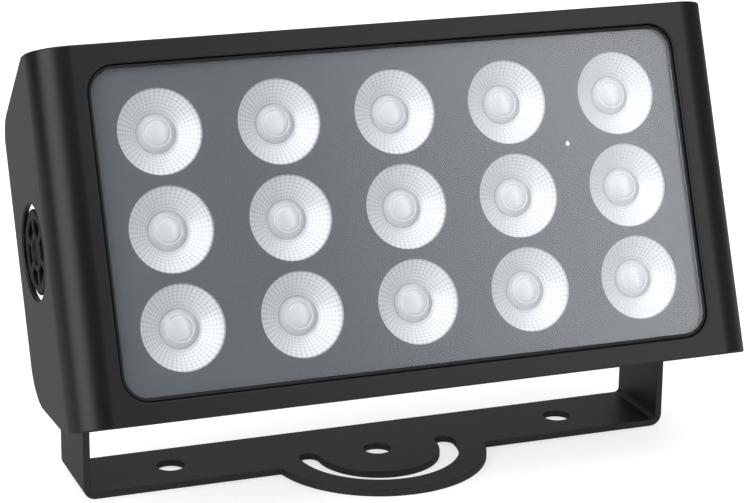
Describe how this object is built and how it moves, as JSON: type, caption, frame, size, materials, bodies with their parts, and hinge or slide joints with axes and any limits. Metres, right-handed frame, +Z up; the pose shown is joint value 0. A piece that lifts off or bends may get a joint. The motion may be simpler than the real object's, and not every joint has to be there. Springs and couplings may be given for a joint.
{
  "type": "floodlight",
  "caption": "Rectangular lamp head with a glass front over a grid of round lenses, a finned back with controls and sockets, hung in a U yoke with lock knobs.",
  "frame": {"origin": "underside of the yoke's plate, at the middle of its bar", "axes": "+X to the right across the lenses, +Y towards the back, +Z up, the lenses face -Y and tilt upwards"},
  "size_m": [0.339, 0.133, 0.2191],
  "materials": {
    "black_casting": "die-cast aluminium with a satin black powder coat",
    "black_steel": "steel plate with a satin black powder coat",
    "black_sheet": "steel sheet with a satin black powder coat",
    "clear_glass": "clear, polished",
    "black_rubber": "matt black silicone rubber",
    "dark_mask": "smooth dark blue-grey",
    "lens_plastic": "frosted clear optical plastic",
    "white_board": "white solder mask",
    "green_board": "green solder mask",
    "bare_aluminium": "plain, satin",
    "zinc_steel": "zinc plated",
    "brass_insert": "machined",
    "white_nylon": "plain",
    "black_plastic": "satin moulded",
    "blue_plastic": "satin moulded",
    "grey_plastic": "satin moulded"
  },
  "bodies": {
    "yoke_frame": {"yoke": "black_steel", "pivot_bush_left": "white_nylon", "pivot_bush_right": "white_nylon", "pivot_washer_left": "zinc_steel", "pivot_washer_right": "zinc_steel"},
    "lamp_head": {"front_casing": "black_casting", "glass_seal": "black_rubber", "front_glass": "clear_glass", "lens_mask": "dark_mask", "lens_11": "lens_plastic", "lens_12": "lens_plastic", "lens_13": "lens_plastic", "lens_14": "lens_plastic", "lens_15": "lens_plastic", "lens_21": "lens_plastic", "lens_22": "lens_plastic", "lens_23": "lens_plastic", "lens_24": "lens_plastic", "lens_25": "lens_plastic", "lens_31": "lens_plastic", "lens_32": "lens_plastic", "lens_33": "lens_plastic", "lens_34": "lens_plastic", "lens_35": "lens_plastic", "status_light": "lens_plastic", "led_board": "white_board", "rear_housing": "black_casting", "casing_gasket": "black_rubber", "casing_screw_1": "zinc_steel", "casing_screw_2": "zinc_steel", "casing_screw_3": "zinc_steel", "casing_screw_4": "zinc_steel", "driver_unit": "bare_aluminium", "control_board": "green_board", "display_module": "black_plastic", "display_window": "clear_glass", "rear_cover": "black_sheet", "cover_gasket": "black_rubber", "cover_screw_1": "zinc_steel", "cover_screw_2": "zinc_steel", "cover_screw_3": "zinc_steel", "cover_screw_4": "zinc_steel", "power_inlet": "blue_plastic", "power_outlet": "grey_plastic", "data_inlet": "black_plastic", "data_outlet": "black_plastic", "breather_vent": "black_plastic", "safety_eye": "zinc_steel", "pivot_stud_left": "zinc_steel", "pivot_stud_right": "zinc_steel"},
    "insert_left": {"knob_insert_left": "brass_insert"},
    "knob_left": {"lock_knob_left": "black_plastic"},
    "insert_right": {"knob_insert_right": "brass_insert"},
    "knob_right": {"lock_knob_right": "black_plastic"},
    "menu_button": {"menu_button": "grey_plastic"},
    "down_button": {"down_button": "grey_plastic"},
    "up_button": {"up_button": "grey_plastic"},
    "enter_button": {"enter_button": "grey_plastic"}
  },
  "joints": [
    {"name": "head_tilt", "type": "hinge", "parent": "yoke_frame", "child": "lamp_head", "pos_m": [0, -0.0107, 0.1214], "axis": [-1, 0, 0], "range_deg": [-31.9, 78.1]},
    {"name": "left_knob_travel", "type": "slide", "parent": "lamp_head", "child": "insert_left", "axis": [-1, 0, 0], "range_m": [0, 0.00125]},
    {"name": "left_knob_turn", "type": "hinge", "parent": "insert_left", "child": "knob_left", "pos_m": [-0.16, -0.0107, 0.1214], "axis": [-1, 0, 0], "range_deg": [0, 360]},
    {"name": "right_knob_travel", "type": "slide", "parent": "lamp_head", "child": "insert_right", "axis": [1, 0, 0], "range_m": [0, 0.00125]},
    {"name": "right_knob_turn", "type": "hinge", "parent": "insert_right", "child": "knob_right", "pos_m": [0.16, -0.0107, 0.1214], "axis": [1, 0, 0], "range_deg": [0, 360]},
    {"name": "menu_press", "type": "slide", "parent": "lamp_head", "child": "menu_button", "axis": [0, -0.9278, 0.373], "range_m": [0, 0.0006], "stiffness_N_per_m": 600, "springref_m": -0.0005},
    {"name": "down_press", "type": "slide", "parent": "lamp_head", "child": "down_button", "axis": [0, -0.9278, 0.373], "range_m": [0, 0.0006], "stiffness_N_per_m": 600, "springref_m": -0.0005},
    {"name": "up_press", "type": "slide", "parent": "lamp_head", "child": "up_button", "axis": [0, -0.9278, 0.373], "range_m": [0, 0.0006], "stiffness_N_per_m": 600, "springref_m": -0.0005},
    {"name": "enter_press", "type": "slide", "parent": "lamp_head", "child": "enter_button", "axis": [0, -0.9278, 0.373], "range_m": [0, 0.0006], "stiffness_N_per_m": 600, "springref_m": -0.0005}
  ],
  "couplings": [
    {"joint": "left_knob_turn", "follows": "left_knob_travel", "rad_per_m": 5026.5},
    {"joint": "right_knob_turn", "follows": "right_knob_travel", "rad_per_m": 5026.5}
  ]
}
